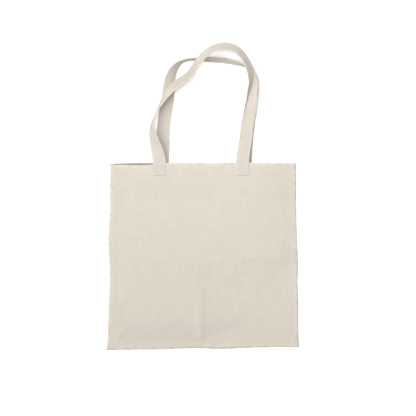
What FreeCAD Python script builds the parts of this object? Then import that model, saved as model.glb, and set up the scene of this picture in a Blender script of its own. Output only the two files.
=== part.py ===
import FreeCAD, Part
import math
import os
import Sketcher

# A canvas tote bag that lies on its back: +X to the wearer's right, +Y from the base
# to the mouth and on to the handles, +Z out of the front panel. The origin is on the
# flat underside of the back panel. Lengths are in millimetres, angles in degrees.

DIMENSIONS = {
    "mouth_width": 357,
    "waist_width": 358,
    "lower_width": 362,
    "base_width": 369,
    "bag_height": 357,
    "lower_y": -110,
    "shoulder_y": 105,
    "hem_y": 150,
    "cloth": 1.0,
    "seam_layers": 2.1,
    "seam_allowance": 10,
    "seam_inset": 1.5,
    "body_gap": 0.35,
    "hem_depth": 25,
    "hem_fold": 0.9,
    "hem_setback": 0.2,
    "mouth_lift": 2.45,
    "crown_base": 0.4,
    "crown_lower": 6.5,
    "crown_shoulder": 7.5,
    "crown_mouth": 6.2,
    "webbing_width": 25,
    "webbing_thickness": 2.0,
    "strap_spacing": 159.4,
    "front_strap_shift": -4,
    "back_strap_shift": 2.2,
    "sewn_length": 24,
    "thread": 0.35,
    "stitch_width": 0.9,
    "stitch_depth_y": 22,
    "cross_stitch_inset": 3,
    "overlock_width": 2.5,
}

# Each handle's route from its left end to its right end. A point is x, y and z of the middle
# of the webbing; how far the inner and the outer side of the webbing slope, up towards the
# loop's outer edge where positive; and the place across it of the crease between the two.
FRONT_ROUTE = [
    (-91, 214, 13.2, -40, -36, 0),
    (-97, 241, 13, -64, -60, 0),
    (-93.8, 265, 14.2, -84, -82, 0),
    (-80.8, 291, 17.2, -78, -75, 0),
    (-62, 319, 22, -58, -52, 0),
    (-25, 348, 27, -58, -52, 0),
    (-1, 381, 38, -60, -54, 0),
    (32, 400, 35.5, -59, -50, 0),
    (57, 398, 35.5, -59, -50, 0),
    (82, 374, 38.5, -62, -54, 4),
    (91, 350, 34, -60, -24, 6),
    (93.5, 322, 19, -62, 25, -1.5),
    (91.5, 293, 13.2, -54, 15, -6.5),
    (86.5, 260, 8.4, -40, 3, -10),
    (80, 213, 11.2, 0, 0, -10),
]
BACK_ROUTE = [
    (-76.5, 212, 1.4, 0, 0, 0),
    (-75.5, 245, 1.4, 0, 0, 0),
    (-71, 280, 1.8, 0, 0, 0),
    (-67, 308, 4.2, 14, 10, 0),
    (-63, 337, 9.1, 40, 30, 0),
    (-53, 361, 12, 62, 54, 0),
    (-40, 372.5, 13.2, 78, 76, 0),
    (-20, 377.5, 13.4, 81, 80, 0),
    (6, 377, 13, 73, 72, 0),
    (40, 375, 12.4, 66, 66, 0),
    (67, 369, 13, 75, 75, 0),
    (86, 361, 13.4, 80, 80, 0),
    (98, 342, 12.2, 62, 62, 0),
    (98, 322, 10.6, 50, 50, 0),
    (93, 297, 7.3, 27, 27, 0),
    (88, 262, 3, 6, 6, 0),
    (83, 215, 1.4, 0, 0, 0),
]
ROUTE_SECTIONS = 56
# The front panel's rise across its width: share of the half width, share of the crown.
CROWN = [(-1, 0), (-0.8, 0.55), (-0.55, 0.93), (-0.2, 1), (0.2, 1), (0.55, 0.93), (0.8, 0.55), (1, 0)]
HINGE_GAP = 0.3
# The radius of the ring of points that each sketch's polygon is first drawn on.
RING = 100
# How far the side trims reach past the widest cloth.
TRIM_MARGIN = 5
# What thin layers of one body keep between them.
LAY_GAP = 0.05

document = FreeCAD.newDocument("canvas_tote_bag")
sheet = document.addObject("Spreadsheet::Sheet", "dims")
for row, (alias, value) in enumerate(DIMENSIONS.items(), start=1):
    sheet.set(f"A{row}", alias)
    sheet.set(f"B{row}", str(value))
    sheet.setAlias(f"B{row}", alias)
document.recompute()

pieces = []


def size(alias):
    """A driving dimension, read from the sheet."""
    return float(sheet.get(alias))


def plane_of(body, role):
    """One of a body's own origin planes."""
    return next(f for f in body.Origin.OriginFeatures if f.Role == role)


def new_body(name):
    body = document.addObject("PartDesign::Body", name)
    body.Label = name
    pieces.append(body)
    return body


def polygon_sketch(body, name, role, outlines):
    """A sketch of closed polygons, each corner's two coordinates bound to expressions."""
    sketch = body.newObject("Sketcher::SketchObject", name)
    sketch.AttachmentSupport = [(plane_of(body, role), "")]
    sketch.MapMode = "FlatFace"
    first = 0
    for outline in outlines:
        # The corners start on a plain ring, and their constraints then move them into place.
        turns = [2 * math.pi * index / len(outline) for index in range(len(outline))]
        ring = [FreeCAD.Vector(math.cos(t), math.sin(t), 0) * RING for t in turns]
        for index, corner in enumerate(ring):
            following = ring[(index + 1) % len(ring)]
            sketch.addGeometry(Part.LineSegment(corner, following), False)
        for index in range(len(ring)):
            following = first + (index + 1) % len(ring)
            sketch.addConstraint(Sketcher.Constraint("Coincident", first + index, 2, following, 1))
        for index, (corner, expressions) in enumerate(zip(ring, outline)):
            for kind, value, expression in zip("XY", (corner.x, corner.y), expressions):
                place = sketch.addConstraint(
                    Sketcher.Constraint(f"Distance{kind}", -1, 1, first + index, 1, value)
                )
                sketch.setExpression(f"Constraints[{place}]", expression)
        first += len(ring)
    return sketch


def strip_sketch(body, name, y, width, underside, thickness, crown, middle):
    """A cross-section of a sheet at one y, flat or raised to a crown between its edges."""
    profile = [(share, rise) for share, rise in CROWN if crown or abs(share) == 1]
    lower = [
        (f"({middle}) + {share} * ({width}) / 2", f"({underside}) + {rise} * ({crown or 0})")
        for share, rise in profile
    ]
    outline = lower + [(x, f"{z} + ({thickness})") for x, z in reversed(lower)]
    sketch = polygon_sketch(body, name, "XZ_Plane", [outline])
    sketch.setExpression(".AttachmentOffset.Base.z", f"-({y})")
    return sketch


def lofted(name, sections, thickness):
    """A sheet along Y through cross-sections: y, width, underside, crown, and its middle's x."""
    body = new_body(name)
    sketches = []
    for index, (y, width, underside, crown, middle) in enumerate(sections):
        sketch_name = f"{name}_section_{index}"
        sketches.append(
            strip_sketch(body, sketch_name, y, width, underside, thickness, crown, middle)
        )
    loft = body.newObject("PartDesign::AdditiveLoft", f"{name}_loft")
    loft.Profile = sketches[0]
    loft.Sections = sketches[1:]
    loft.Ruled = True
    return body


def box(name, length, width, height, x, y, z):
    """A plain bar or patch as a parametric box, placed by its lowest corner."""
    solid = document.addObject("Part::Box", name)
    solid.Label = name
    for prop, expression in (("Length", length), ("Width", width), ("Height", height)):
        solid.setExpression(prop, expression)
    for axis, expression in (("x", x), ("y", y), ("z", z)):
        solid.setExpression(f".Placement.Base.{axis}", expression)
    pieces.append(solid)
    return solid


# The bag's stations along Y, with its width there and the underside of each layer.
MOUTH = "dims.bag_height / 2"
BASE = "-dims.bag_height / 2"
HEM_START = f"{MOUTH} - dims.hem_depth"
BACK_TOP = "dims.cloth"
LIFTED_TOP = "dims.mouth_lift + dims.cloth"
FRONT_LOW = "dims.cloth + dims.seam_layers + dims.body_gap"
FRONT_LOW_MOUTH = f"dims.mouth_lift + {FRONT_LOW}"
STATIONS = {
    "base": (BASE, "dims.base_width", "0 * dims.cloth"),
    "lower": ("dims.lower_y", "dims.lower_width", "0 * dims.cloth"),
    "shoulder": ("dims.shoulder_y", "dims.waist_width", "0 * dims.cloth"),
    "hem": ("dims.hem_y", "dims.mouth_width", "dims.mouth_lift"),
    "mouth": (MOUTH, "dims.mouth_width", "dims.mouth_lift"),
}


def back_panel():
    """One bent strip of cloth across the whole width, its two sides trimmed to the outline."""
    body = new_body("back_panel")
    under = [(y, lift) for y, _, lift in STATIONS.values() if y != "dims.lower_y"]
    side_view = under + [(y, f"{lift} + dims.cloth") for y, lift in reversed(under)]
    strip = body.newObject("PartDesign::Pad", "back_panel_strip")
    strip.Profile = polygon_sketch(body, "back_panel_side_view", "YZ_Plane", [side_view])
    strip.SideType = "Symmetric"
    strip.setExpression("Length", "dims.base_width")
    outlines = []
    for sign in (-1, 1):
        edge = [(f"{sign} * {width} / 2", y) for y, width, _ in STATIONS.values()]
        outer = f"{sign} * (dims.base_width / 2 + {TRIM_MARGIN})"
        outlines.append(edge + [(outer, f"{MOUTH} + {TRIM_MARGIN}"), (outer, BASE)])
    trim = body.newObject("PartDesign::Pocket", "back_panel_trim")
    trim.Profile = polygon_sketch(body, "back_panel_trim_outline", "XY_Plane", outlines)
    trim.Type = "ThroughAll"
    trim.SideType = "Symmetric"
    body.Tip = trim


def front_panel():
    crowns = ("base", "lower", "shoulder", "mouth", "mouth")
    sections = []
    for (y, width, lift), crown in zip(STATIONS.values(), crowns):
        sections.append((y, width, f"{lift} + {FRONT_LOW}", f"dims.crown_{crown}", "0"))
    lofted("front_panel", sections, "dims.cloth")


def hem_facings():
    """The turned-in bands inside the mouth, clear of the side seams."""
    inner = "dims.mouth_width - 2 * (dims.seam_allowance + dims.seam_inset + 1)"
    ends = (HEM_START, f"{MOUTH} - dims.hem_setback")
    low = LIFTED_TOP
    lofted("back_hem_facing", [(y, inner, low, "", "0") for y in ends], "dims.hem_fold")
    under = f"{FRONT_LOW_MOUTH} - dims.hem_fold - {LAY_GAP}"
    sections = [(y, inner, under, "dims.crown_mouth", "0") for y in ends]
    lofted("front_hem_facing", sections, "dims.hem_fold")


def seam_allowances():
    """The side and bottom seams' edges, turned inside between the two panels."""
    for side, sign in (("left", -1), ("right", 1)):
        sections = []
        for place, (y, width, lift) in STATIONS.items():
            if place == "base":
                y = f"{BASE} + 2 * dims.seam_inset + dims.seam_allowance"
            inset = "(dims.seam_inset + dims.seam_allowance / 2)"
            middle = f"{sign} * ({width} / 2 - {inset})"
            low = f"{lift} + {BACK_TOP}"
            sections.append((y, "dims.seam_allowance", low, "", middle))
        lofted(f"{side}_seam_allowance", sections, "dims.seam_layers")
    box(
        "bottom_seam_allowance",
        "dims.base_width - 4 * dims.seam_inset",
        "dims.seam_allowance",
        "dims.seam_layers",
        "-dims.base_width / 2 + 2 * dims.seam_inset",
        f"{BASE} + dims.seam_inset",
        BACK_TOP,
    )


def seam_threads():
    """Lockstitch along each seam line and overlock round each cut edge, as plain strips."""
    for side, sign in (("left", -1), ("right", 1)):
        lock, over = [], []
        for place in ("lower", "shoulder"):
            y, width, lift = STATIONS[place]
            low = f"{lift} + {BACK_TOP}"
            edge = f"{width} / 2 - dims.seam_inset / 2"
            lock.append((y, "dims.stitch_width", low, "", f"{sign} * ({edge})"))
            inner = f"dims.seam_inset + dims.seam_allowance + dims.overlock_width / 2 + {LAY_GAP}"
            middle = f"{sign} * ({width} / 2 - ({inner}))"
            over.append((y, "dims.overlock_width", low, "", middle))
        lofted(f"{side}_seam_stitching", lock, "dims.thread")
        lofted(f"{side}_seam_overlock", over, "dims.seam_layers")
    box(
        "bottom_seam_stitching",
        "dims.base_width - 8 * dims.seam_inset",
        "dims.stitch_width",
        "dims.thread",
        "-dims.base_width / 2 + 4 * dims.seam_inset",
        f"{BASE} + (dims.seam_inset - dims.stitch_width) / 2",
        BACK_TOP,
    )
    box(
        "bottom_seam_overlock",
        "dims.base_width - 4 * (dims.seam_inset + dims.seam_allowance)",
        "dims.overlock_width",
        "dims.seam_layers",
        "-dims.base_width / 2 + 2 * (dims.seam_inset + dims.seam_allowance)",
        f"{BASE} + dims.seam_inset + dims.seam_allowance + {LAY_GAP}",
        BACK_TOP,
    )


def hem_stitching():
    """The stitch row that holds each hem, on the outside of the panel."""
    start = f"{MOUTH} - dims.stitch_depth_y"
    ends = (start, f"{start} + dims.stitch_width")
    low = f"{FRONT_LOW_MOUTH} + dims.cloth + {LAY_GAP}"
    sections = [(y, "dims.mouth_width", low, "dims.crown_mouth", "0") for y in ends]
    lofted("front_hem_stitching", sections, "dims.thread")
    # The back row runs only between the two sewn strap ends.
    under = f"dims.mouth_lift - dims.thread - {LAY_GAP}"
    length = "dims.strap_spacing - 2 * dims.webbing_width"
    sections = [(y, length, under, "", "dims.back_strap_shift") for y in ends]
    lofted("back_hem_stitching", sections, "dims.thread")


# The webbing's underside where it is sewn on, over the hem stitches in front and over its
# own cross stitches behind.
FRONT_STRAP_LOW = f"{FRONT_LOW_MOUTH} + dims.cloth + dims.crown_mouth + dims.thread + 2 * {LAY_GAP}"
BACK_STRAP_LOW = f"dims.thread + {LAY_GAP}"


def strap_ends():
    """The handles' ends where they are sewn flat to the outside of each panel."""
    ends = {}
    for panel, low in (("front", FRONT_STRAP_LOW), ("back", BACK_STRAP_LOW)):
        for side, sign in (("left", -1), ("right", 1)):
            middle = f"dims.{panel}_strap_shift + {sign} * dims.strap_spacing / 2"
            ends[panel, side] = box(
                f"{panel}_handle_end_{side}",
                "dims.webbing_width",
                "dims.sewn_length",
                "dims.webbing_thickness",
                f"{middle} - dims.webbing_width / 2",
                f"{MOUTH} - dims.sewn_length",
                low,
            )
    document.recompute()
    return ends


def cross_stitch(name, centre_x, centre_y, low, side):
    """A sewn square with its two diagonals, as thin crossing bars."""
    thick, wide = size("thread"), size("stitch_width")
    bars = []
    half = side / 2
    for angle, length, offset in (
        (0, side, half),
        (0, side, -half),
        (90, side, half),
        (90, side, -half),
        (45, side * math.sqrt(2), 0),
        (-45, side * math.sqrt(2), 0),
    ):
        bar = Part.makeBox(length, wide, thick, FreeCAD.Vector(-length / 2, offset - wide / 2, 0))
        bar.rotate(FreeCAD.Vector(0, 0, 0), FreeCAD.Vector(0, 0, 1), angle)
        bars.append(bar)
    patch = document.addObject("Part::Feature", name)
    patch.Label = name
    patch.Shape = bars[0].fuse(bars[1:]).removeSplitter()
    patch.Placement = FreeCAD.Placement(
        FreeCAD.Vector(centre_x, centre_y, low), FreeCAD.Rotation()
    )
    pieces.append(patch)


def cross_stitches(ends):
    """A stitched box and cross on the outer face of each sewn end."""
    side = size("webbing_width") - 2 * size("cross_stitch_inset")
    for (panel, side_name), end in ends.items():
        middle = end.Shape.BoundBox.Center
        outer = end.Shape.BoundBox.ZMax if panel == "front" else LAY_GAP / 2
        cross_stitch(f"{panel}_{side_name}_cross_stitch", middle.x, middle.y, outer, side)


def between(first, second, share):
    """A route point's slopes and crease, part way from one point to the next."""
    return [a + (b - a) * share for a, b in zip(first[3:], second[3:])]


def cross_section(middle, along, inner_lean, outer_lean, crease):
    """The webbing's outline at one place on its route: flat each side of a lengthwise crease."""
    half_width, half_thick = size("webbing_width") / 2, size("webbing_thickness") / 2
    flat = FreeCAD.Vector(-along.y, along.x, 0).normalize()
    inner, outer = (
        flat * math.cos(math.radians(lean)) + FreeCAD.Vector(0, 0, 1) * math.sin(math.radians(lean))
        for lean in (inner_lean, outer_lean)
    )
    fold = middle + (outer if crease < 0 else inner) * crease
    inner_edge = fold - inner * (half_width + crease)
    outer_edge = fold + outer * (half_width - crease)
    inner_up, outer_up = (along.cross(side).normalize() * half_thick for side in (inner, outer))
    mitre = inner_up + outer_up
    fold_up = mitre * (2 * half_thick**2 / mitre.dot(mitre))
    edges = ((inner_edge, inner_up), (fold, fold_up), (outer_edge, outer_up))
    upper = [place + up for place, up in edges]
    lower = [place - up for place, up in reversed(edges)]
    return Part.makePolygon(upper + lower + upper[:1])


def ribbon(name, route):
    """Webbing along a smooth route, leaning as the route says, as one closed solid."""
    middles = [FreeCAD.Vector(*point[:3]) for point in route]
    spine = Part.BSplineCurve()
    spine.interpolate(middles)
    places = [spine.parameter(middle) for middle in middles]
    start, end = spine.FirstParameter, spine.LastParameter
    wires = []
    for number in range(ROUTE_SECTIONS + 1):
        place = start + (end - start) * number / ROUTE_SECTIONS
        along = spine.tangent(place)[0]
        if number in (0, ROUTE_SECTIONS):
            along = FreeCAD.Vector(0, 1 if number == 0 else -1, 0)
        passed = sum(p <= place for p in places)
        after = min(max(passed, 1), len(places) - 1)
        share = (place - places[after - 1]) / (places[after] - places[after - 1])
        leans = between(route[after - 1], route[after], share)
        wires.append(cross_section(spine.value(place), along, *leans))
    handle = document.addObject("Part::Feature", name)
    handle.Label = name
    handle.Shape = Part.makeLoft(wires, True, True)
    pieces.append(handle)


def handles(ends):
    """The two loops beyond the mouth's edge, each one length of webbing."""
    for panel, route in (("front", FRONT_ROUTE), ("back", BACK_ROUTE)):
        first, last = (ends[panel, side].Shape.BoundBox for side in ("left", "right"))
        mouth_ends = [
            (end.Center.x, end.YMax + HINGE_GAP, end.Center.z, 0, 0, 0) for end in (first, last)
        ]
        ribbon(f"{panel}_handle", [mouth_ends[0], *route, mouth_ends[1]])


back_panel()
front_panel()
hem_facings()
seam_allowances()
seam_threads()
hem_stitching()
sewn_ends = strap_ends()
cross_stitches(sewn_ends)
handles(sewn_ends)
document.recompute()

for item in document.Objects:
    if "Invalid" in item.State or "Error" in item.State:
        raise RuntimeError(f"{item.Name} did not compute: {item.State}")
os.makedirs("parts", exist_ok=True)
for piece in pieces:
    if piece.Shape.isNull() or not piece.Shape.isValid() or not piece.Shape.Solids:
        raise RuntimeError(f"{piece.Label} has no valid solid")
for piece in pieces:
    piece.Shape.exportStep(f"parts/{piece.Label}.step")
    bounds = piece.Shape.BoundBox
    print(
        f"{piece.Label}: {len(piece.Shape.Solids)} solid, {piece.Shape.Volume:.0f} mm3, "
        f"z {bounds.ZMin:.2f} to {bounds.ZMax:.2f}"
    )
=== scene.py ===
import math

import bpy
import numpy as np
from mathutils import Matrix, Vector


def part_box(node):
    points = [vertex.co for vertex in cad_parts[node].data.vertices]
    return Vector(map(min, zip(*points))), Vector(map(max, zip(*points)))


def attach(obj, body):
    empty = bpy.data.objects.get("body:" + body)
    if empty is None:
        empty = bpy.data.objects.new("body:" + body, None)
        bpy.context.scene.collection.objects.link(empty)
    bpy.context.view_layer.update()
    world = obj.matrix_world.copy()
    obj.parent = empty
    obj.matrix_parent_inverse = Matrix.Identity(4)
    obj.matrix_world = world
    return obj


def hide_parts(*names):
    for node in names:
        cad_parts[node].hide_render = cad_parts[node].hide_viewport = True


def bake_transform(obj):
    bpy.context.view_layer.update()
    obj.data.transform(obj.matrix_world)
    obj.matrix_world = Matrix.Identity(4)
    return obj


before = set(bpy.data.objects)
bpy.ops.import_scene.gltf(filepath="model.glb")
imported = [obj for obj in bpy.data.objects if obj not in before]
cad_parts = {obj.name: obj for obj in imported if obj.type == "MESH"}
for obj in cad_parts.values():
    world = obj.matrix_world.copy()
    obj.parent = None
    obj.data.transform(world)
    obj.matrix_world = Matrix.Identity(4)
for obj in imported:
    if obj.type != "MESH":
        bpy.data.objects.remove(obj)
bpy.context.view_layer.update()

# A canvas tote bag that lies on its back: +X to the right, +Y from the base to the mouth and
# the handles, +Z out of the front. Lengths are in metres, and MM turns millimetres into them.
MM = 0.001

# ---------------------------------------------------------------- sizes

BACK_LOW, BACK_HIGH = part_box("back_panel")
FRONT_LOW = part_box("front_panel")[0]
BASE, MOUTH = BACK_LOW.y, BACK_HIGH.y
CLOTH = 0.9 * MM
LAYERS_LOW, LAYERS_HIGH = (corner.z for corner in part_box("bottom_seam_allowance"))
# The webbing sewn behind the back panel lifts both cloths by this much near the mouth.
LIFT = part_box("back_hem_facing")[0].z - LAYERS_LOW
# Where along Y that webbing starts and ends to lift the cloths, and the share of the lift that
# is gone at the corners, which it never reaches.
LIFT_START, LIFT_END = 0.105, 0.150
CORNER_DROP, CORNER_START, CORNER_RUN = 0.7, 0.110, 0.068
# The turned seams round the sides and the base: the radius of their roll, and the heights of
# the two cloths' edges where they meet.
ROLL = 4.0 * MM
FRONT_EDGE_Z = 2.5 * MM
BACK_EDGE_Z = 2.1 * MM
FRONT_TOP = FRONT_LOW.z + 1.0 * MM
SEAM_INSET, SEAM_DEPTH = 1.5 * MM, 10.0 * MM
# The front cloth stays this far above the layers under it, with this much softness.
FRONT_CLEARANCE = 1.3 * MM
SOFT_STOP = 0.25 * MM
# The hems: how deep they are turned in, where they are sewn, how round their fold is, how far
# to each side their facings reach, and how far their facings stay off the cloth.
HEM_DEPTH = 25.0 * MM
HEM_STITCH_Y = MOUTH - 21.5 * MM
FOLD = 1.0 * MM
FACING_HALF = 0.166
FACING_GAP = 0.05 * MM
WEBBING_HALF = 12.5 * MM
WEBBING_THICK = 2.0 * MM
SEWN_LENGTH = 24.0 * MM
# How thin the webbing is pressed where it is sewn down, and the length over which it recovers.
PRESSED, RECOVERY = 0.6, 14 * MM

# The bag's outline, as places along each edge: y and x for the sides, x and y for the ends.
LEFT_EDGE = [(-0.1800, -0.1862), (-0.1650, -0.1842), (-0.1300, -0.1824), (-0.0800, -0.1806),
             (-0.0400, -0.1794), (0.0080, -0.1810), (0.0360, -0.1822), (0.0600, -0.1806),
             (0.1100, -0.1788), (0.1785, -0.1778)]
RIGHT_EDGE = [(-0.1800, 0.1848), (-0.1650, 0.1836), (-0.1300, 0.1824), (-0.0800, 0.1822),
              (-0.0450, 0.1810), (-0.0150, 0.1822), (0.0150, 0.1808), (0.0500, 0.1794),
              (0.1100, 0.1786), (0.1785, 0.1778)]
BASE_EDGE = [(-0.1850, -0.1806), (-0.1300, -0.1795), (-0.0700, -0.1788), (-0.0150, -0.1768),
             (0.0350, -0.1782), (0.0800, -0.1762), (0.1300, -0.1752), (0.1850, -0.1750)]
FRONT_MOUTH_EDGE = [(-0.1780, 0.1752), (-0.1450, 0.1744), (-0.1100, 0.1742), (-0.0900, 0.1766),
                    (-0.0650, 0.1785), (0.0000, 0.1785), (0.1200, 0.1788), (0.1780, 0.1780)]
BACK_MOUTH_EDGE = [(-0.1780, 0.1776), (-0.1300, 0.1786), (-0.0900, 0.1788), (0.0000, 0.1778),
                   (0.1780, 0.1774)]

# Soft ridges in the front cloth, or valleys where the height is negative: start, end, width and
# height. The crease up from the base comes first, then those at the right and along the base,
# at the left, and near the mouth.
RIDGES = [
    ((-0.006, -0.190), (-0.004, -0.040), 9 * MM, 1.0 * MM),
    ((0.185, 0.002), (0.060, 0.003), 14 * MM, 0.7 * MM),
    ((0.090, -0.010), (0.020, -0.060), 11 * MM, 0.7 * MM),
    ((0.130, -0.175), (0.150, -0.050), 9 * MM, 0.7 * MM),
    ((0.178, -0.085), (0.160, -0.150), 7 * MM, -0.8 * MM),
    ((0.010, -0.152), (0.190, -0.146), 16 * MM, -0.6 * MM),
    ((-0.186, -0.178), (-0.140, -0.130), 5 * MM, 1.2 * MM),
    ((-0.172, -0.178), (-0.166, -0.120), 5 * MM, -1.0 * MM),
    ((-0.178, -0.010), (-0.120, 0.010), 10 * MM, -0.6 * MM),
    ((-0.120, 0.165), (-0.030, 0.020), 16 * MM, 0.6 * MM),
    ((0.020, 0.170), (0.110, 0.040), 18 * MM, -0.5 * MM),
]
# The lower right falls away by this much, over this length, from a corner this round. The
# corner lies at this x and y, and its upright side leans by this much above the base.
FALL, FALL_LENGTH, FALL_CORNER = 5.4 * MM, 0.050, 0.010
FALL_X, FALL_Y, FALL_LEAN, FALL_LEAN_Y = -0.003, -0.004, 0.05, -0.17
# Broad and small waves all over the front, and fine ones across the bias: how high each is.
BROAD_WAVES, SMALL_WAVES, BIAS_WAVES = 0.75 * MM, 0.22 * MM, 0.10 * MM
# How deep and how wide the hem's stitches pull the cloth in.
STITCH_PULL, PULL_WIDTH = 0.10 * MM, 0.9 * MM
# The gathers along the seams: their height, their two pitches and how far in they reach.
PUCKER, PUCKER_PITCHES, PUCKER_REACH = 0.28 * MM, (5.5 * MM, 12 * MM), 11 * MM
# How much lower the cloth lies past the seam layers and past the hem, over this length.
SEAM_STEP, HEM_STEP, STEP_LENGTH = 0.45 * MM, 0.16 * MM, 4.0 * MM
# Where the back cloth's mouth edge curls up, from left to right, and by how much.
CURL_LEFT, CURL_RIGHT, CURL_EASE, CURL = -0.180, -0.088, 0.015, 3.4 * MM
CURL_START_Y, CURL_LENGTH = 0.1738, 4.0 * MM

# Each handle's route from its left end to its right end. A point is x, y and z of the middle
# of the webbing; how far the inner and the outer side of the webbing slope in degrees, up
# towards the loop's outer edge where positive; and the place of the crease between them.
FRONT_ROUTE = [
    (-0.0910, 0.214, 0.0132, -40, -36, 0),
    (-0.0970, 0.241, 0.0130, -64, -60, 0),
    (-0.0938, 0.265, 0.0142, -84, -82, 0),
    (-0.0808, 0.291, 0.0172, -78, -75, 0),
    (-0.0620, 0.319, 0.0220, -58, -52, 0),
    (-0.0250, 0.348, 0.0270, -58, -52, 0),
    (-0.0010, 0.381, 0.0380, -60, -54, 0),
    (0.0320, 0.400, 0.0355, -59, -50, 0),
    (0.0570, 0.398, 0.0355, -59, -50, 0),
    (0.0820, 0.374, 0.0385, -62, -54, 0.004),
    (0.0910, 0.350, 0.0340, -60, -24, 0.006),
    (0.0935, 0.322, 0.0190, -62, 25, -0.0015),
    (0.0915, 0.293, 0.0132, -54, 15, -0.0065),
    (0.0865, 0.260, 0.0084, -40, 3, -0.010),
    (0.0800, 0.213, 0.0112, 0, 0, -0.010),
]
BACK_ROUTE = [
    (-0.0765, 0.212, 0.0014, 0, 0, 0),
    (-0.0755, 0.245, 0.0014, 0, 0, 0),
    (-0.0710, 0.280, 0.0018, 0, 0, 0),
    (-0.0670, 0.308, 0.0042, 14, 10, 0),
    (-0.0630, 0.337, 0.0091, 40, 30, 0),
    (-0.0530, 0.361, 0.0120, 62, 54, 0),
    (-0.0400, 0.3725, 0.0132, 78, 76, 0),
    (-0.0200, 0.3775, 0.0134, 81, 80, 0),
    (0.0060, 0.377, 0.0130, 73, 72, 0),
    (0.0400, 0.375, 0.0124, 66, 66, 0),
    (0.0670, 0.369, 0.0130, 75, 75, 0),
    (0.0860, 0.361, 0.0134, 80, 80, 0),
    (0.0980, 0.342, 0.0122, 62, 62, 0),
    (0.0980, 0.322, 0.0106, 50, 50, 0),
    (0.0930, 0.297, 0.0073, 27, 27, 0),
    (0.0880, 0.262, 0.0030, 6, 6, 0),
    (0.0830, 0.215, 0.0014, 0, 0, 0),
]


# ---------------------------------------------------------------- curves and fields

def smooth(share):
    """A smooth step from 0 to 1."""
    share = np.clip(share, 0, 1)
    return share * share * (3 - 2 * share)


def spline(points, at):
    """A natural cubic spline through points, (place, value, ...) each, read at some places."""
    table = np.array(points, float)
    knots, values = table[:, 0], table[:, 1:]
    step = np.diff(knots)
    slopes = np.diff(values, axis=0) / step[:, None]
    system = np.eye(len(knots))
    bend = np.zeros_like(values)
    for i in range(1, len(knots) - 1):
        system[i, i - 1:i + 2] = step[i - 1], 2 * (step[i - 1] + step[i]), step[i]
        bend[i] = 6 * (slopes[i] - slopes[i - 1])
    second = np.linalg.solve(system, bend)
    at = np.asarray(at, float)
    i = np.clip(np.searchsorted(knots, at, side="right") - 1, 0, len(knots) - 2)
    after = ((at - knots[i]) / step[i])[..., None]
    before = 1 - after
    width = (step[i] ** 2 / 6)[..., None]
    result = before * values[i] + after * values[i + 1]
    result += ((before ** 3 - before) * second[i] + (after ** 3 - after) * second[i + 1]) * width
    return result


def eased(points, at):
    """Values at stations, with a smooth step from each to the next."""
    places, values = np.array(points, float).T
    i = np.clip(np.searchsorted(places, at, side="right") - 1, 0, len(places) - 2)
    share = smooth((at - places[i]) / (places[i + 1] - places[i]))
    return values[i] + (values[i + 1] - values[i]) * share


def lengths_along(path):
    """The length of a path up to each of its points."""
    return np.concatenate([[0], np.cumsum(np.linalg.norm(np.diff(path, axis=0), axis=1))])


def noise(x, y, cell_x, cell_y, seed):
    """Smooth random values from -1 to 1, one per cell, the same on each run."""
    values = np.random.default_rng(seed).uniform(-1, 1, (64, 64))
    gx, gy = x / cell_x + 32, y / cell_y + 32
    ix, iy = np.floor(gx).astype(int), np.floor(gy).astype(int)
    fx, fy = smooth(gx - ix), smooth(gy - iy)

    def corner(dx, dy):
        return values[(iy + dy) % 64, (ix + dx) % 64]

    low = corner(0, 0) * (1 - fx) + corner(1, 0) * fx
    high = corner(0, 1) * (1 - fx) + corner(1, 1) * fx
    return low * (1 - fy) + high * fy


def left_edge(y):
    """The x of the bag's left side."""
    return spline(LEFT_EDGE, y)[..., 0]


def right_edge(y):
    """The x of the bag's right side."""
    return spline(RIGHT_EDGE, y)[..., 0]


def base_edge(x):
    """The y of the bag's base."""
    return spline(BASE_EDGE, x)[..., 0]


def ridge(x, y, start, end, width, height):
    """A soft straight ridge, or a valley where height is negative, that fades at its ends."""
    start, end = np.array(start), np.array(end)
    along = end - start
    length = np.hypot(*along)
    along = along / length
    run = (x - start[0]) * along[0] + (y - start[1]) * along[1]
    off = (y - start[1]) * along[0] - (x - start[0]) * along[1]
    ends = smooth(run / (0.3 * length)) * smooth((length - run) / (0.3 * length))
    return height * np.exp(-(off / width) ** 2) * ends


def crown(x, y):
    """How far the front cloth stands off the back one, from its edges to its middle."""
    middle = (left_edge(y) + right_edge(y)) / 2
    half = (right_edge(y) - left_edge(y)) / 2
    rise = eased([(BASE, 0.6 * MM), (-0.120, 6.3 * MM), (0.105, 7.4 * MM), (MOUTH, 6.2 * MM)], y)
    return rise * (1 - np.minimum(np.abs((x - middle) / half), 1) ** 4)


def lift(x, y):
    """How far the webbing sewn behind holds both cloths up near the mouth."""
    along = smooth((y - LIFT_START) / (LIFT_END - LIFT_START))
    return LIFT * along * (1 - CORNER_DROP * smooth((np.abs(x) - CORNER_START) / CORNER_RUN))


def rolled(distance):
    """The rise of a rolled edge, from 0 at the edge to 1 where the cloth lies flat."""
    return np.sqrt(1 - (1 - np.clip(distance / ROLL, 0, 1)) ** 2)


def edge_distances(x, y):
    """How far a place is from the nearer side edge and from the base edge."""
    return np.minimum(x - left_edge(y), right_edge(y) - x), y - base_edge(x)


def puckers(place, distance, seed):
    """Small gathers along a seam, which fade away from it."""
    fine, coarse = PUCKER_PITCHES
    wave = noise(place, distance, fine, 0.030, seed)
    wave += 0.6 * noise(place, distance, coarse, 0.030, seed + 1)
    fade = np.exp(-np.maximum(distance, 0) / PUCKER_REACH) * smooth(distance / ROLL)
    return PUCKER * wave * fade


def layer_step(distance, depth, drop):
    """The cloth comes down by drop where the layers under it end, at a depth from its edge."""
    return -drop * smooth((distance - depth) / STEP_LENGTH + 0.5)


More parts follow.
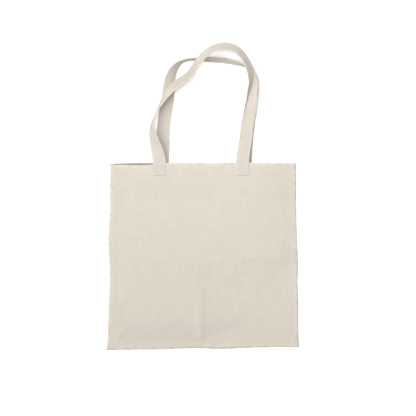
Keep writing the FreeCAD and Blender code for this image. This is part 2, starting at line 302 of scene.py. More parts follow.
def front_folds(x, y, side, base):
    """Wrinkles, creases and the relief of what lies under the front cloth."""
    # The lower right lies inside both a nearly upright line and a level one.
    lean = FALL_LEAN * (y - FALL_LEAN_Y) * (y > FALL_LEAN_Y)
    inside = np.stack([x - FALL_X + lean, FALL_Y - y])
    region = -FALL_CORNER * np.log(np.exp(-inside / FALL_CORNER).sum(0))
    folds = -FALL * (1 - np.exp(-np.maximum(region, 0) / FALL_LENGTH))
    for start, end, width, height in RIDGES:
        folds += ridge(x, y, start, end, width, height)
    folds += BROAD_WAVES * noise(x, y, 0.070, 0.062, 3) + SMALL_WAVES * noise(x, y, 0.024, 0.030, 4)
    folds += BIAS_WAVES * noise(x + y, y - x, 0.011, 0.016, 5)
    folds *= smooth(side / 0.030) * smooth(base / 0.022)
    folds += puckers(y, side, 11) + puckers(x, base, 21)
    folds += layer_step(side, SEAM_INSET + SEAM_DEPTH, SEAM_STEP)
    folds += layer_step(base, SEAM_INSET + SEAM_DEPTH, SEAM_STEP)
    folds += layer_step(MOUTH - y, HEM_DEPTH, HEM_STEP)
    # The hem's stitches pull the cloth in.
    folds -= STITCH_PULL * np.exp(-((y - HEM_STITCH_Y) / PULL_WIDTH) ** 2)
    return folds


def front_top(x, y):
    """The outer face of the front cloth, which never sinks into the layers under it."""
    side, base = edge_distances(x, y)
    edge = FRONT_EDGE_Z + lift(x, y)
    full = FRONT_TOP + lift(x, y) + crown(x, y) + front_folds(x, y, side, base)
    least = LAYERS_HIGH + FRONT_CLEARANCE + lift(x, y)
    full = least + SOFT_STOP * np.log1p(np.exp(np.minimum((full - least) / SOFT_STOP, 50)))
    return edge + (full - edge) * rolled(side) * rolled(base)


def mouth_curl(x, y):
    """The back cloth's mouth edge curls up where the front one is drawn back from it."""
    span = smooth((x - CURL_LEFT) / CURL_EASE) * smooth((CURL_RIGHT - x) / CURL_EASE)
    return CURL * span * smooth((y - CURL_START_Y) / CURL_LENGTH)


def back_under(x, y):
    """The outer face of the back cloth, which the bag lies on."""
    side, base = edge_distances(x, y)
    full = lift(x, y) + 0.12 * MM * (1 + noise(x, y, 0.035, 0.04, 31)) + mouth_curl(x, y)
    edge = BACK_EDGE_Z + lift(x, y)
    return edge + (full - edge) * rolled(side) * rolled(base)


# ---------------------------------------------------------------- meshes

def grid_faces(rows, columns):
    """The quads of a grid of points, and the ring of its outermost points."""
    index = np.arange(rows * columns).reshape(rows, columns)
    corners = [index[:-1, :-1], index[:-1, 1:], index[1:, 1:], index[1:, :-1]]
    ring = np.concatenate([index[0], index[1:, -1], index[-1, -2::-1], index[-2:0:-1, 0]])
    return np.stack(corners, -1).reshape(-1, 4), ring


def grid_normals(points):
    """The unit normals of a grid of points, +Z for one seen from above."""
    across, along = np.gradient(points, axis=1), np.gradient(points, axis=0)
    normals = np.cross(across, along)
    return normals / np.linalg.norm(normals, axis=-1, keepdims=True)


def shell(outer, inner, normals, flat, facing=1):
    """A sheet's closed mesh from its two faces, as points, normals, flat cloth places and quads."""
    rows, columns = outer.shape[:2]
    quads, ring = grid_faces(rows, columns)
    count = rows * columns
    after = np.roll(ring, -1)
    walls = np.stack([ring, ring + count, after + count, after], -1)
    faces = np.concatenate([quads, quads[:, ::-1] + count, walls])
    points = np.concatenate([outer.reshape(-1, 3), inner.reshape(-1, 3)])
    directions = np.concatenate([normals.reshape(-1, 3), -normals.reshape(-1, 3)])
    places = np.concatenate([flat.reshape(-1, 2), flat.reshape(-1, 2)])
    return points, directions, places, faces[:, ::facing]


def mesh_object(name, parts, material, wear=None):
    """One object from parts, each its points, normals, flat places and faces, some with caps.
    wear is 0 to 1 for each point, where the cloth is worn."""
    starts = np.cumsum([0] + [len(part[0]) for part in parts[:-1]])
    points, normals, places = (np.concatenate([part[i] for part in parts]) for i in range(3))
    faces = []
    for part, start in zip(parts, starts):
        for polygons in part[3:]:
            faces += (polygons + start).tolist()
    mesh = bpy.data.meshes.new(name)
    mesh.from_pydata(points.tolist(), [], faces, shade_flat=False)
    layer = mesh.uv_layers.new(name="flat_cloth")
    corners = np.zeros(len(mesh.loops), int)
    mesh.loops.foreach_get("vertex_index", corners)
    layer.data.foreach_set("uv", places[corners].astype(np.float32).ravel())
    mesh.normals_split_custom_set_from_vertices(normals.tolist())
    if wear is not None:
        worn = mesh.attributes.new("wear", "FLOAT", "POINT")
        worn.data.foreach_set("value", np.ravel(wear).astype(np.float32))
    mesh.materials.append(material)
    piece = bpy.data.objects.new(name, mesh)
    bpy.context.scene.collection.objects.link(piece)
    return piece


def tube(points, radius, sides):
    """A round thread along points, one radius for all of them or one each, closed at its ends."""
    points = np.asarray(points, float)
    along = np.gradient(points, axis=0)
    along /= np.linalg.norm(along, axis=1, keepdims=True)
    reference = np.where(np.abs(along[:, 2:3]) > 0.9, [[1.0, 0, 0]], [[0, 0, 1.0]])
    first = np.cross(along, reference)
    first /= np.linalg.norm(first, axis=1, keepdims=True)
    second = np.cross(first, along)
    turns = np.arange(sides) * 2 * math.pi / sides
    cosines, sines = np.cos(turns)[None, :, None], np.sin(turns)[None, :, None]
    around = first[:, None] * cosines + second[:, None] * sines
    radii = np.broadcast_to(radius, (len(points),))
    surface = points[:, None] + around * radii[:, None, None]
    index = np.arange(len(points) * sides).reshape(len(points), sides)
    beside = np.roll(index, -1, axis=1)
    quads = np.stack([index[:-1], index[1:], beside[1:], beside[:-1]], -1).reshape(-1, 4)
    run = lengths_along(points)
    places = np.stack(np.broadcast_arrays(run[:, None], turns[None] * np.mean(radii)), -1)
    caps = np.stack([index[0], index[-1, ::-1]])
    return surface.reshape(-1, 3), around.reshape(-1, 3), places.reshape(-1, 2), quads, caps


def along_path(path, run, places):
    """Points of a path at lengths along it."""
    return np.stack([np.interp(places, run, path[:, i]) for i in range(3)], -1)


STITCH_STEPS = np.linspace(0, 1, 7)
STITCH_TAPER = np.array([0.35, 0.85, 1, 1, 1, 0.85, 0.35])
STITCH_SINK = 0.10 * MM


def stitches(path, up, length=2.7 * MM, gap=0.7 * MM, radius=0.22 * MM, rise=0.10 * MM):
    """A row of thread stitches along a path on a surface, each one arched out of the cloth."""
    path = np.asarray(path, float)
    run = lengths_along(path)
    count = max(1, int(run[-1] // (length + gap)))
    pitch = run[-1] / count
    parts = []
    for number in range(count):
        places = number * pitch + gap / 2 + STITCH_STEPS * (pitch - gap)
        arch = rise * np.sin(math.pi * STITCH_STEPS) - STITCH_SINK
        points = along_path(path, run, places) + arch[:, None] * np.array(up)
        parts.append(tube(points, radius * STITCH_TAPER, 6))
    return parts


# ---------------------------------------------------------------- materials

def add_node(tree, kind, inputs=(), **settings):
    """A node with its settings and inputs, each input a number, a colour or another's output."""
    node = tree.nodes.new(kind)
    for key, value in settings.items():
        setattr(node, key, value)
    for key, value in dict(inputs).items():
        if isinstance(value, bpy.types.NodeSocket):
            tree.links.new(value, node.inputs[key])
        else:
            node.inputs[key].default_value = value
    return node


def maths(tree, operation, *values):
    """One sum on values, each a number or an output."""
    return add_node(tree, "ShaderNodeMath", enumerate(values), operation=operation).outputs[0]


def noise_node(tree, place, scale_x, scale_y, detail=2.0):
    """Noise on flat cloth places, stretched as its two scales differ, about 0.5."""
    scaled = add_node(tree, "ShaderNodeMapping", {"Vector": place, "Scale": (scale_x, scale_y, 1)})
    inputs = {"Vector": scaled.outputs[0], "Scale": 1.0, "Detail": detail, "Roughness": 0.55}
    return add_node(tree, "ShaderNodeTexNoise", inputs).outputs["Fac"]


def scaled_sum(tree, *terms):
    """The sum of terms, each an output and what it is multiplied by."""
    total = 0.0
    for output, factor in terms:
        total = maths(tree, "MULTIPLY_ADD", output, factor, total)
    return total


def weave_height(tree, place, pitch_x, pitch_y):
    """A plain weave's relief, 0 in the gaps and 1 on the yarns, and where the warp is on top."""
    axes = add_node(tree, "ShaderNodeSeparateXYZ", {"Vector": place})
    waves = []
    for axis, pitch in (("X", pitch_x), ("Y", pitch_y)):
        turn = maths(tree, "MULTIPLY", axes.outputs[axis], math.pi / pitch)
        waves.append(maths(tree, "SINE", turn))
    over = maths(tree, "GREATER_THAN", maths(tree, "MULTIPLY", *waves), 0.0)
    bulge_x, bulge_y = (maths(tree, "ABSOLUTE", wave) for wave in waves)
    round_x, round_y = (maths(tree, "POWER", bulge, 0.6) for bulge in (bulge_x, bulge_y))
    warp = maths(tree, "MULTIPLY", round_x, maths(tree, "MULTIPLY_ADD", bulge_y, 0.55, 0.45))
    weft = maths(tree, "MULTIPLY", round_y, maths(tree, "MULTIPLY_ADD", bulge_x, 0.55, 0.45))
    yarns = {"Factor": over, "A": weft, "B": warp}
    return add_node(tree, "ShaderNodeMix", yarns, data_type="FLOAT").outputs[0], over


def clamp(tree, value):
    """A value kept between 0 and 1."""
    return add_node(tree, "ShaderNodeClamp", {"Value": value}).outputs[0]


def mix_colours(tree, share, first, second):
    """A mix of two colours, each a colour or an output, by a share that is an output."""
    node = add_node(tree, "ShaderNodeMix", {"Factor": share}, data_type="RGBA")
    for socket, colour in zip(node.inputs[6:8], (first, second)):
        if isinstance(colour, bpy.types.NodeSocket):
            tree.links.new(colour, socket)
        else:
            socket.default_value = (*colour, 1)
    return node.outputs[2]


SEED_COLOUR = (0.24, 0.17, 0.11)
TWIST_PITCH = 0.45 * MM


def cotton(name, light, dark, pitch, relief, grain=0.15, stretch=(1.0, 1.0)):
    """Natural woven cotton: yarns with painted shade in the gaps between them, slubs, mottling,
    a few flecks of seed, a matt sheen, and wear where the mesh marks its edges, rubbed paler in
    patches with a little soil. Lengths are in metres, and stretch widens the weave across and along."""
    material = bpy.data.materials.new(name)
    material.use_nodes = True
    tree = material.node_tree
    shader = tree.nodes["Principled BSDF"]
    shader.inputs["Specular IOR Level"].default_value = 0.22
    shader.inputs["Sheen Weight"].default_value = 0.08
    shader.inputs["Sheen Roughness"].default_value = 0.6
    place = add_node(tree, "ShaderNodeUVMap", uv_map="flat_cloth").outputs[0]
    yarns, over = weave_height(tree, place, pitch * stretch[0], pitch * stretch[1])
    weft_slubs = noise_node(tree, place, 30, 760)
    warp_slubs = noise_node(tree, place, 760, 22)
    mottling = noise_node(tree, place, 60, 38, 3.0)
    fuzz = noise_node(tree, place, 2600, 2600)
    coarse = noise_node(tree, place, 430, 380)
    gap_shade_weight, slub_weight, mottling_weight, fuzz_weight, over_weight = 0.30, 0.75, 0.45, 0.25, 0.06
    # The weave's relief makes the colour darker in the gaps between the yarns: painted shade.
    blend = scaled_sum(
        tree, (yarns, gap_shade_weight), (weft_slubs, slub_weight), (warp_slubs, slub_weight),
        (mottling, mottling_weight), (coarse, grain), (fuzz, fuzz_weight), (over, over_weight),
    )
    # What the sum comes to on average, where the yarns' relief averages 0.55 and the rest 0.5.
    average = 0.55 * gap_shade_weight + slub_weight
    average += (mottling_weight + grain + fuzz_weight + over_weight) / 2
    share = clamp(tree, maths(tree, "SUBTRACT", blend, average - 0.5))
    colour = mix_colours(tree, share, dark, light)
    flecks = add_node(tree, "ShaderNodeTexVoronoi", {"Vector": place, "Scale": 95.0})
    near = maths(tree, "LESS_THAN", flecks.outputs["Distance"], 0.030)
    rare = maths(tree, "LESS_THAN", noise_node(tree, place, 60, 60), 0.42)
    fleck = maths(tree, "MULTIPLY", maths(tree, "MULTIPLY", near, rare), 0.35)
    colour = mix_colours(tree, fleck, colour, SEED_COLOUR)
    wear = add_node(tree, "ShaderNodeAttribute", attribute_name="wear").outputs["Fac"]
    patches = noise_node(tree, place, 110, 110, 3.0)
    soiled = maths(tree, "MULTIPLY", wear, maths(tree, "MULTIPLY_ADD", patches, -2.0, 1.10))
    colour = mix_colours(tree, clamp(tree, soiled), colour, tuple(0.80 * c for c in dark))
    rubbed = maths(tree, "MULTIPLY", wear, maths(tree, "MULTIPLY_ADD", patches, 2.6, -0.80))
    colour = mix_colours(tree, clamp(tree, rubbed), colour, tuple(1.16 * c for c in light))
    tree.links.new(colour, shader.inputs["Base Color"])
    roughness = maths(tree, "MULTIPLY_ADD", fuzz, 0.12, 0.84)
    tree.links.new(roughness, shader.inputs["Roughness"])
    height = scaled_sum(
        tree, (yarns, 1.0), (weft_slubs, 0.5), (warp_slubs, 0.5), (coarse, grain), (fuzz, 0.25)
    )
    bump = add_node(tree, "ShaderNodeBump", {"Height": height, "Distance": relief, "Strength": 0.8})
    tree.links.new(bump.outputs[0], shader.inputs["Normal"])
    return material


def thread_material(name, colour):
    """Twisted sewing thread: a fine slanting twist along each stitch, with painted shade in its
    grooves.
    """
    material = bpy.data.materials.new(name)
    material.use_nodes = True
    tree = material.node_tree
    shader = tree.nodes["Principled BSDF"]
    shader.inputs["Specular IOR Level"].default_value = 0.35
    place = add_node(tree, "ShaderNodeUVMap", uv_map="flat_cloth").outputs[0]
    axes = add_node(tree, "ShaderNodeSeparateXYZ", {"Vector": place})
    slant = maths(tree, "ADD", axes.outputs["X"], axes.outputs["Y"])
    turns = maths(tree, "MULTIPLY", slant, math.pi / TWIST_PITCH)
    twist = maths(tree, "ABSOLUTE", maths(tree, "SINE", turns))
    tone = maths(tree, "MULTIPLY_ADD", noise_node(tree, place, 400, 400), 0.5, 0.25)
    # The colour is darker in the twist's grooves, which is painted shade, and its tone also varies at
    # random.
    share = maths(tree, "MULTIPLY_ADD", twist, 0.4, tone)
    shade = mix_colours(tree, share, tuple(0.82 * c for c in colour), colour)
    tree.links.new(shade, shader.inputs["Base Color"])
    roughness = maths(tree, "MULTIPLY_ADD", twist, -0.15, 0.75)
    tree.links.new(roughness, shader.inputs["Roughness"])
    bump = add_node(tree, "ShaderNodeBump", {"Height": twist, "Distance": 0.05 * MM, "Strength": 0.6})
    tree.links.new(bump.outputs[0], shader.inputs["Normal"])
    return material


CANVAS = cotton(
    "natural_canvas", (0.460, 0.426, 0.373), (0.381, 0.348, 0.300), 0.85 * MM, 0.16 * MM
)
# A darker copy of the canvas for the facings and seam layers inside the bag: its darker tone is
# painted shade.
CANVAS_INSIDE_SHADED = cotton(
    "canvas_inside_painted_shade", (0.414, 0.375, 0.320), (0.339, 0.301, 0.252), 0.85 * MM, 0.18 * MM
)
WEBBING = cotton(
    "cotton_webbing", (0.497, 0.461, 0.413), (0.370, 0.332, 0.287), 1.25 * MM, 0.42 * MM, 0.9,
    (1.5, 1.0),
)
THREAD = thread_material("sewing_thread", (0.545, 0.508, 0.450))
OVERLOCK = thread_material("overlock_thread", (0.467, 0.428, 0.376))

# ---------------------------------------------------------------- the two cloths

# The nominal half width at the mouth and at the base, and the size of a cloth's cells.
MOUTH_HALF, BASE_HALF = 0.178, 0.180
CELL = 1.6 * MM
# By the hem's stitches this many rows to each side run this close together, and the other rows
# stay clear of them.
CLOSE_ROWS, CLOSE_PITCH, CLOSE_GAP = 5, 0.45 * MM, 3.2 * MM
# How far the wear reaches in from a cloth's edges.
WEAR_REACH = 4.0 * MM
ROLL_STEPS = 6
FOLD_STEPS = 8


def roll_steps():
    """Distances from an edge round its roll."""
    angles = np.arange(ROLL_STEPS) * math.pi / 2 / ROLL_STEPS
    return ROLL * (1 - np.cos(angles))


def cloth_columns():
    """Where the columns of a cloth's grid run: a share of the width and an offset from it."""
    shares = np.linspace(0, 1, 2 * round(MOUTH_HALF / CELL) + 1)
    middle = np.stack([shares, (1 - 2 * shares) * ROLL], -1)
    near = np.stack([np.zeros(ROLL_STEPS), roll_steps()], -1)
    far = np.stack([np.ones(ROLL_STEPS), -roll_steps()], -1)[::-1]
    return np.concatenate([near, middle, far])


def cloth_rows():
    """Where the rows run: a share of the height and an offset, closer by the hem's stitches."""
    height = MOUTH - BASE
    shares = np.linspace(0, 1, round(height / CELL) + 1)
    stitch_share = (HEM_STITCH_Y - BASE) / height
    close = stitch_share + np.arange(-CLOSE_ROWS, CLOSE_ROWS + 1) * CLOSE_PITCH / height
    kept = shares[np.abs(shares - stitch_share) > CLOSE_GAP / height]
    shares = np.sort(np.concatenate([kept, close]))
    middle = np.stack([shares, (1 - shares) * ROLL - shares * FOLD], -1)
    near = np.stack([np.zeros(ROLL_STEPS), roll_steps()], -1)
    return np.concatenate([near, middle])


def cloth_grid(mouth_edge, height, turn):
    """A cloth's outer face: points, and its flat places. turn is -1 where its hem folds down
    behind it and 1 where it folds up."""
    columns, rows = cloth_columns(), cloth_rows()
    nominal_x = BASE_HALF * (2 * columns[:, 0] - 1) + columns[:, 1]
    low, high = base_edge(nominal_x), spline(mouth_edge, nominal_x)[:, 0]
    y = low + (high - low) * rows[:, :1] + rows[:, 1:]
    left, right = left_edge(y), right_edge(y)
    x = left + (right - left) * columns[:, 0] + columns[:, 1]
    points = np.stack([x, y, height(x, y)], -1)
    fold = []
    for angle in np.arange(1, FOLD_STEPS + 1) * math.pi / FOLD_STEPS:
        row = points[-1].copy()
        row[:, 1] += FOLD * math.sin(angle)
        row[:, 2] += turn * FOLD * (1 - math.cos(angle))
        fold.append(row)
    hem_run = (1 + np.arange(FOLD_STEPS)) * math.pi * FOLD / FOLD_STEPS
    flat = points[..., :2]
    hem_flat = [flat[-1] + [0, run] for run in hem_run]
    return np.concatenate([points, fold]), np.concatenate([flat, hem_flat])


def cloth_wear(outer, mouth_edge):
    """Wear fades from a cloth's outline inwards, and both faces share it."""
    x, y = outer[..., 0], outer[..., 1]
    side, base = edge_distances(x, y)
    mouth = np.abs(spline(mouth_edge, x)[..., 0] - y)
    nearest = np.maximum(np.minimum(np.minimum(side, base), mouth), 0)
    worn = np.exp(-nearest / WEAR_REACH)
    return np.stack([worn, worn])


def front_cloth():
    """The front, in two halves that meet at the middle."""
    outer, flat = cloth_grid(FRONT_MOUTH_EDGE, front_top, -1)
    normals = grid_normals(outer)
    inner = outer - CLOTH * normals
    worn = cloth_wear(outer, FRONT_MOUTH_EDGE)
    middle = outer.shape[1] // 2
    for side, part in (("left", slice(0, middle + 1)), ("right", slice(middle, None))):
        half = shell(outer[:, part], inner[:, part], normals[:, part], flat[:, part])
        piece = mesh_object(f"front_cloth_{side}", [half], CANVAS, worn[:, :, part])
        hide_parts("front_panel")
        hold_front(piece, side)


def hold_front(piece, side):
    """Bakes a front piece's place into its mesh."""
    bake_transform(piece)


def back_cloth():
    """The back, in one piece, which carries the side seams."""
    outer, flat = cloth_grid(BACK_MOUTH_EDGE, back_under, 1)
    normals = -grid_normals(outer)
    inner = outer - CLOTH * normals
    sheet = shell(outer, inner, normals, flat, -1)
    piece = mesh_object("back_cloth", [sheet], CANVAS, cloth_wear(outer, BACK_MOUTH_EDGE))
    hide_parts("back_panel")
    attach(piece, "bag_back")


def band(x, y, top, thick):
    """A flat layer over a grid of places, its top face given."""
    outer = np.stack([x, y, top], -1)
    normals = grid_normals(outer)
    return shell(outer, outer - thick * normals, normals, outer[..., :2])


# How ragged the facings' cut edges are, and how far their folded edges stay inside the fold.
RAGGED, FOLD_INSET = 0.3 * MM, 0.02 * MM


def facing_places(mouth_edge, shares, seed):
    """The x and y of a hem's turned-in band, at shares of its length, from its cut edge up."""
    rows = np.linspace(0, 1, 18)[:, None]
    x = FACING_HALF * (2 * shares - 1) + 0 * rows
    high = spline(mouth_edge, x)[..., 0] - FOLD - FOLD_INSET
    ragged = RAGGED * noise(x, x, 0.02, 0.02, seed)
    return x, high + (ragged - HEM_DEPTH) * (1 - rows)


def facings():
    """The hems' turned-in bands, inside the mouth."""
    for side, start, end in (("left", 0.0, 0.5), ("right", 0.5, 1.0)):
        x, y = facing_places(FRONT_MOUTH_EDGE, np.linspace(start, end, 110), 41)
        top = front_top(x, y) - CLOTH - FACING_GAP
        piece = mesh_object(f"front_facing_{side}", [band(x, y, top, CLOTH)], CANVAS_INSIDE_SHADED)
        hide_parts("front_hem_facing")
        hold_front(piece, side)
    x, y = facing_places(BACK_MOUTH_EDGE, np.linspace(0, 1, 220), 43)
    top = back_under(x, y) + 2 * CLOTH + FACING_GAP
    piece = mesh_object("back_facing", [band(x, y, top, CLOTH)], CANVAS_INSIDE_SHADED)
    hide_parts("back_hem_facing")
    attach(piece, "bag_back")


def seam_place(seam, run, depth):
    """The x and y of a place along a seam, run along it, and depth in from the bag's edge."""
    if seam == "left":
        return left_edge(run) + depth, run + 0 * depth
    if seam == "right":
        return right_edge(run) - depth, run + 0 * depth
    return run + 0 * depth, base_edge(run) + depth


# Where each seam's layers start and end along it.
SEAM_RUNS = {"left": (-0.163, 0.1725), "right": (-0.163, 0.1755), "bottom": (-0.179, 0.178)}
# One ply of a seam's layers: its thickness, its top above their underside, and the next one's
# rise. Its cut edge frays this much, with this pitch.
PLY, PLY_TOP, PLY_RISE = 0.92 * MM, 0.95 * MM, 1.02 * MM
FRAY, FRAY_PITCH = 0.35 * MM, 4 * MM
# The lockstitch runs this far in from the bag's edge.
LOCK_DEPTH = 1.25 * MM
# The overlock thread winds round the cut edges: the length of a turn and its steps, how far its
# middle is in from them, how far it reaches to each side, and its middle and height in Z.
TURN, TURN_STEPS = 3.2 * MM, 10
WIND_INSET, WIND_REACH = 1.1 * MM, 1.7 * MM
WIND_MIDDLE, WIND_HEIGHT, WIND_RADIUS = 0.98 * MM, 1.18 * MM, 0.17 * MM


def seam_layers():
    """Both cloths' edges, turned inside along the side seams and the base."""
    for seam, (start, end) in SEAM_RUNS.items():
        run = np.linspace(start, end, 180)[:, None]
        parts = []
        for ply in (0, 1):
            share = np.linspace(0, 1, 8)
            fray = FRAY * noise(run, run, FRAY_PITCH, FRAY_PITCH, 51 + ply)
            x, y = seam_place(seam, run, SEAM_INSET + share * SEAM_DEPTH + fray * share)
            x, y = np.broadcast_arrays(x, y)
            top = LAYERS_LOW + PLY_TOP + ply * PLY_RISE + lift(x, y)
            # The right seam's places run from right to left, and the base's grid is turned.
            order = -1 if seam == "right" else 1
            if seam == "bottom":
                x, y, top = x.T, y.T, top.T
            parts.append(band(x[:, ::order], y[:, ::order], top[:, ::order], PLY))
        piece = mesh_object(f"{seam}_seam_layers", parts, CANVAS_INSIDE_SHADED)
        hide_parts(f"{seam}_seam_allowance")
        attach(piece, "bag_back")


def seam_threads():
    """The lockstitch in the seam line and the overlock loops round the cut edges."""
    middle_z = (FRONT_EDGE_Z + BACK_EDGE_Z) / 2
    for seam, (start, end) in SEAM_RUNS.items():
        run = np.linspace(start, end, 240)
        x, y = seam_place(seam, run, LOCK_DEPTH)
        path = np.stack([x, y, middle_z + lift(x, y)], -1)
        parts = stitches(path, (0, 0, 1), length=3.0 * MM, rise=0.05 * MM)
        piece = mesh_object(f"{seam}_seam_lockstitch", parts, THREAD)
        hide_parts(f"{seam}_seam_stitching")
        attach(piece, "bag_back")
        turns = np.arange(int((end - start) / TURN) * TURN_STEPS) / TURN_STEPS
        middle = SEAM_INSET + SEAM_DEPTH - WIND_INSET
        depth = middle + WIND_REACH * np.cos(2 * math.pi * turns)
        x, y = seam_place(seam, start + turns * TURN, depth)
        z = LAYERS_LOW + WIND_MIDDLE + WIND_HEIGHT * np.sin(2 * math.pi * turns) + lift(x, y)
        loops = tube(np.stack([x, y, z], -1), WIND_RADIUS, 5)
        piece = mesh_object(f"{seam}_seam_overcast", [loops], OVERLOCK)
        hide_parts(f"{seam}_seam_overlock")
        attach(piece, "bag_back")


# Each half of a hem's stitch row runs from near the middle to near the side.
HEM_THREAD_START, HEM_THREAD_END = 0.8 * MM, 0.1755
# How far the rows' middles stand out of the front and of the back cloth.
FRONT_ROW_OUT, BACK_ROW_OUT = 0.12 * MM, 0.05 * MM


def hem_threads():
    """The stitch rows that hold the hems, seen on the outside."""
    for side, sign in (("left", -1), ("right", 1)):
        x = sign * np.linspace(HEM_THREAD_START, HEM_THREAD_END, 300)
        y = np.full_like(x, HEM_STITCH_Y)
        path = np.stack([x, y, front_top(x, y) + FRONT_ROW_OUT], -1)
        piece = mesh_object(f"front_hem_thread_{side}", stitches(path, (0, 0, 1)), THREAD)
        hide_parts("front_hem_stitching")
        hold_front(piece, side)
    x = np.linspace(-HEM_THREAD_END, HEM_THREAD_END, 500)
    y = np.full_like(x, HEM_STITCH_Y)
    path = np.stack([x, y, back_under(x, y) - BACK_ROW_OUT], -1)
    piece = mesh_object("back_hem_thread", stitches(path, (0, 0, -1), rise=0.1 * MM), THREAD)
    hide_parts("back_hem_stitching")
    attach(piece, "bag_back")


# ---------------------------------------------------------------- the handles

# The stations along the webbing, the fine steps across it, how soft its creases are and how
# far the wear reaches in from its selvedges.
STATION = 1.8 * MM
FINE_STEPS = 51
CREASE_SOFTNESS = 3.5 * MM
SELVEDGE_WEAR = 1.2 * MM
UPWARDS = np.array([0, 0, 1.0])
# The height of the back webbing's middle where it is sewn on.
BACK_SEWN_Z = 1.4 * MM
# Half the side of a box stitch, and how far its thread's middle stands out of the webbing.
BOX_HALF = 9.5 * MM
FRONT_BOX_OUT, BACK_BOX_OUT = 0.12 * MM, 0.02 * MM
# The creases of both sewn ends on the right lie this far off the webbing's middle.
RIGHT_CREASE = -0.010
# How far the front webbing's underside stays off the cloth it is sewn to.
SEWN_GAP = 0.1 * MM


def profile():
    """The webbing's cross-section: places across it and heights off its middle, all round."""
    flat_half = WEBBING_HALF - WEBBING_THICK / 2
    across = np.linspace(-flat_half, flat_half, 15)
    angles = np.linspace(0, math.pi, 7)[1:-1]
    end_across = flat_half + WEBBING_THICK / 2 * np.sin(angles)
    end_height = WEBBING_THICK / 2 * np.cos(angles)
    half = np.full(len(across), WEBBING_THICK / 2)
    places = np.concatenate([across, end_across, across[::-1], -end_across[::-1]])
    heights = np.concatenate([half, end_height, -half, end_height[::-1]])
    return places, heights


def strap(name, route, sewn, sewn_height, nodes):
    """A handle: one length of webbing, sewn down at both ends, along its route between them."""
    ends = []
    for box in sewn:
        low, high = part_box(box)
        ends.append(((low.x + high.x) / 2, low.y, high.y))
    (left_x, low_y, high_y), (right_x, _, _) = ends
    sewn_rows = (low_y, (low_y + high_y) / 2, high_y)
    points = [(left_x, y, sewn_height(left_x, y), 0, 0, 0) for y in sewn_rows]
    points += list(route)
    for y in reversed(sewn_rows):
        points.append((right_x, y, sewn_height(right_x, y), 0, 0, RIGHT_CREASE))
    table = np.array(points, float)
    run = lengths_along(table[:, :3])
    knots = np.column_stack([run, table])
    places = np.linspace(0, run[-1], int(run[-1] / STATION) + 1)
    line = spline(knots, places)
    middle, crease = line[:, :3], line[:, 5]
    inner, outer = np.radians(line[:, 3]), np.radians(line[:, 4])
    along = np.gradient(middle, axis=0)
    along /= np.linalg.norm(along, axis=1, keepdims=True)
    level = np.stack([-along[:, 1], along[:, 0], 0 * along[:, 0]], -1)
    level /= np.linalg.norm(level, axis=1, keepdims=True)
    across, heights = profile()
    from_end = np.minimum(places, run[-1] - places)
    pressed = PRESSED + (1 - PRESSED) * smooth((from_end - SEWN_LENGTH) / RECOVERY)
    # The webbing's shape across, summed from its slopes in fine steps and then centred.
    fine = np.linspace(-WEBBING_HALF, WEBBING_HALF, FINE_STEPS)
    share = smooth((fine[None] - crease[:, None]) / CREASE_SOFTNESS / 2 + 0.5)
    lean = inner[:, None] + (outer - inner)[:, None] * share
    step = fine[1] - fine[0]
    out = np.cumsum(np.cos(lean), axis=1) * step
    up = np.cumsum(np.sin(lean), axis=1) * step
    centre = FINE_STEPS // 2
    out -= out[:, centre:centre + 1]
    up -= up[:, centre:centre + 1]
    surface = np.empty((len(places), len(across), 3))
    for i in range(len(places)):
        o, u = np.interp(across, fine, out[i]), np.interp(across, fine, up[i])
        tilt = np.interp(across, fine, lean[i])
        side = level[i] * np.cos(tilt)[:, None] + UPWARDS * np.sin(tilt)[:, None]
        normal = np.cross(along[i], side)
        normal /= np.linalg.norm(normal, axis=1, keepdims=True)
        surface[i] = middle[i] + level[i] * o[:, None] + UPWARDS * u[:, None]
        surface[i] += normal * heights[:, None] * pressed[i]
    length = lengths_along(middle)
    piece = webbing_object(name, surface, length, across)
    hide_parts(*nodes)
    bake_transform(piece)
    return middle


def webbing_object(name, surface, length, across):
    """The webbing's closed mesh: its face, its back, its two selvedges and its cut ends."""
    rows, around = surface.shape[:2]
    index = np.arange(rows * around).reshape(rows, around)
    beside = np.roll(index, -1, axis=1)
    quads = np.stack([index[:-1], index[1:], beside[1:], beside[:-1]], -1).reshape(-1, 4)
    caps = np.stack([index[0], index[-1, ::-1]])
    along_step = np.gradient(surface, axis=0)
    around_step = (np.roll(surface, -1, axis=1) - np.roll(surface, 1, axis=1)) / 2
    normals = np.cross(along_step, around_step)
    normals /= np.linalg.norm(normals, axis=-1, keepdims=True)
    places = np.stack(np.broadcast_arrays(across[None], length[:, None]), -1)
    part = (surface.reshape(-1, 3), normals.reshape(-1, 3), places.reshape(-1, 2), quads, caps)
    selvedge = np.exp(-(WEBBING_HALF - np.abs(across)) / SELVEDGE_WEAR)
    return mesh_object(name, [part], WEBBING, np.broadcast_to(selvedge, (rows, around)))


def front_strap_height(x, y):
    """The height of the front webbing's middle where it is sewn on, on the hem's cloth."""
    cloth = float(front_top(np.array(x), np.array(min(y, MOUTH - 2 * MM))))
    return cloth + PRESSED * WEBBING_THICK / 2 + SEWN_GAP


def back_strap_height(x, y):
    """The height of the back webbing's middle where it is sewn on, level everywhere."""
    return BACK_SEWN_Z


def box_stitch(name, node, centre, up, height, body):
    """A stitched square with its diagonals, where a handle's end is sewn down."""
    half = BOX_HALF
    corners = [(-half, -half), (half, -half), (half, half), (-half, half)]
    lines = list(zip(corners, corners[1:] + corners[:1]))
    lines += [(corners[0], corners[2]), (corners[1], corners[3])]
    parts = []
    for start, end in lines:
        steps = np.linspace(0, 1, 40)[:, None]
        flat = np.array(centre) + np.array(start) * (1 - steps) + np.array(end) * steps
        path = np.column_stack([flat, np.array([height(x, y) for x, y in flat])])
        parts += stitches(path, up, length=2.3 * MM, gap=0.6 * MM, radius=0.30 * MM, rise=0.2 * MM)
    piece = mesh_object(name, parts, THREAD)
    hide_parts(node)
    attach(piece, body)


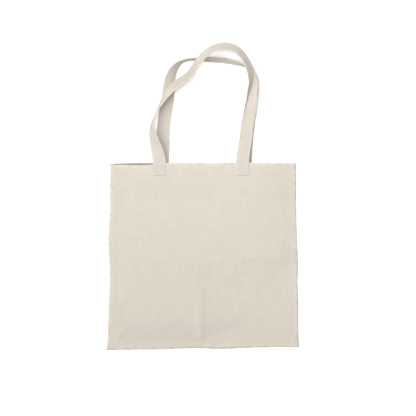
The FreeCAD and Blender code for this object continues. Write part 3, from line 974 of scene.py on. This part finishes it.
def handles():
    """Both straps and the stitching that holds their ends."""
    strap(
        "front_strap", FRONT_ROUTE,
        ("front_handle_end_left", "front_handle_end_right"), front_strap_height,
        ("front_handle", "front_handle_end_left", "front_handle_end_right"),
    )
    strap(
        "back_strap", BACK_ROUTE,
        ("back_handle_end_left", "back_handle_end_right"), back_strap_height,
        ("back_handle", "back_handle_end_left", "back_handle_end_right"),
    )
    for panel, up, body in (("front", (0, 0, 1), "bag_front"), ("back", (0, 0, -1), "bag_back")):
        for side in ("left", "right"):
            node = f"{panel}_{side}_cross_stitch"
            low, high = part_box(node)
            centre = ((low.x + high.x) / 2, (low.y + high.y) / 2)
            if panel == "front":
                middle_x = centre[0]

                def height(x, y, middle_x=middle_x):
                    top = front_strap_height(middle_x, y) + PRESSED * WEBBING_THICK / 2
                    return top + FRONT_BOX_OUT
            else:
                def height(x, y):
                    return back_strap_height(x, y) - PRESSED * WEBBING_THICK / 2 - BACK_BOX_OUT
            box_stitch(f"{panel}_{side}_box_stitch", node, centre, up, height, body)


# ---------------------------------------------------------------- the studio

# The floor's half width and height, the width that the camera sees, and its X and Y.
FLOOR_REACH, FLOOR_Z = 30.0, -0.0003
VIEW_WIDTH = 0.799
CAMERA_PLACE = (0.0096, 0.0918)


def studio():
    """A plain white floor, soft lights and a camera straight above, far away."""
    mesh = bpy.data.meshes.new("studio_floor")
    corners = [(-1, -1), (1, -1), (1, 1), (-1, 1)]
    points = [(FLOOR_REACH * x, FLOOR_REACH * y, FLOOR_Z) for x, y in corners]
    mesh.from_pydata(points, [], [(0, 1, 2, 3)])
    floor = bpy.data.objects.new("studio_floor", mesh)
    bpy.context.scene.collection.objects.link(floor)
    white = bpy.data.materials.new("studio_white")
    white.use_nodes = True
    shader = white.node_tree.nodes["Principled BSDF"]
    shader.inputs["Base Color"].default_value = (0.97, 0.97, 0.97, 1)
    shader.inputs["Roughness"].default_value = 1.0
    shader.inputs["Specular IOR Level"].default_value = 0.0
    mesh.materials.append(white)

    world = bpy.data.worlds.new("studio_air")
    bpy.context.scene.world = world
    world.use_nodes = True
    sky = world.node_tree.nodes["Background"]
    sky.inputs["Color"].default_value = (1.0, 1.0, 1.0, 1)
    sky.inputs["Strength"].default_value = 0.45

    sun = bpy.data.lights.new("window_light", "SUN")
    sun.energy = 2.6
    sun.angle = math.radians(45)
    top = bpy.data.lights.new("top_light", "AREA")
    top.shape = "DISK"
    top.size = 0.7
    top.energy = 7.8
    for light, place in ((sun, (-0.75, 0.12, 1.1)), (top, (0.03, 0.40, 0.9))):
        lamp = bpy.data.objects.new(light.name, light)
        lamp.location = place
        lamp.rotation_mode = "QUATERNION"
        lamp.rotation_quaternion = (-lamp.location).to_track_quat("-Z", "Y")
        lamp.visible_camera = False
        bpy.context.scene.collection.objects.link(lamp)

    camera = bpy.data.cameras.new("camera")
    camera.lens = 400.0
    camera.sensor_width = 36.0
    distance = VIEW_WIDTH * camera.lens / camera.sensor_width
    camera.clip_end = 100.0
    eye = bpy.data.objects.new("camera", camera)
    eye.location = (*CAMERA_PLACE, distance)
    bpy.context.scene.collection.objects.link(eye)
    bpy.context.scene.camera = eye
    bpy.context.scene.view_settings.view_transform = "Standard"


front_cloth()
back_cloth()
facings()
seam_layers()
seam_threads()
hem_threads()
handles()
studio()
